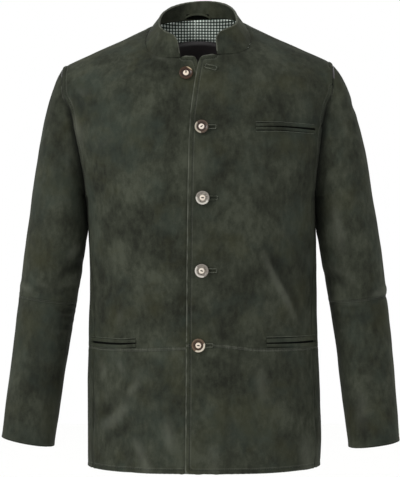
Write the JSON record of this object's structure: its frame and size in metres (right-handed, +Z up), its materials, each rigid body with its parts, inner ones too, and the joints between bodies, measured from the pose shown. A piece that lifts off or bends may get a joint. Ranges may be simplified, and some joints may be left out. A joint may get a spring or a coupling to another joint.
{
  "type": "suede folk jacket",
  "caption": "Suede jacket with a standing collar, horn buttons in bound buttonholes and welt pockets, hollow and filled out as if worn.",
  "frame": {"origin": "midway between the side-neck points, at the inner ends of the shoulder seams", "axes": "+Z up towards the collar, -Y towards the front, +X towards the wearer's left"},
  "size_m": [0.6867, 0.2712, 0.8182],
  "materials": {
    "suede": "dark green suede, velvety nap",
    "check_cotton": "woven gingham check, matt",
    "satin": "near-black satin",
    "dark_horn": "polished brown horn",
    "pale_horn": "polished pale horn"
  },
  "bodies": {
    "root": {"front_right_upper": "suede", "front_right_lower": "suede", "front_left_upper": "suede", "front_left_lower": "suede", "back_upper": "suede", "back_lower": "suede", "sleeve_right_upper": "suede", "sleeve_right_lower": "suede", "sleeve_left_upper": "suede", "sleeve_left_lower": "suede", "collar": "suede", "hanger_loop": "suede", "chest_welt_upper": "suede", "chest_welt_lower": "suede", "hip_welt_right_upper": "suede", "hip_welt_right_lower": "suede", "hip_welt_left_upper": "suede", "hip_welt_left_lower": "suede", "buttonhole_1": "suede", "buttonhole_2": "suede", "buttonhole_3": "suede", "buttonhole_4": "suede", "buttonhole_5": "suede", "lining_check_yoke": "check_cotton", "lining_satin": "satin", "button_1": "dark_horn", "button_2": "pale_horn", "button_3": "pale_horn", "button_4": "pale_horn", "button_5": "dark_horn"}
  },
  "joints": []
}
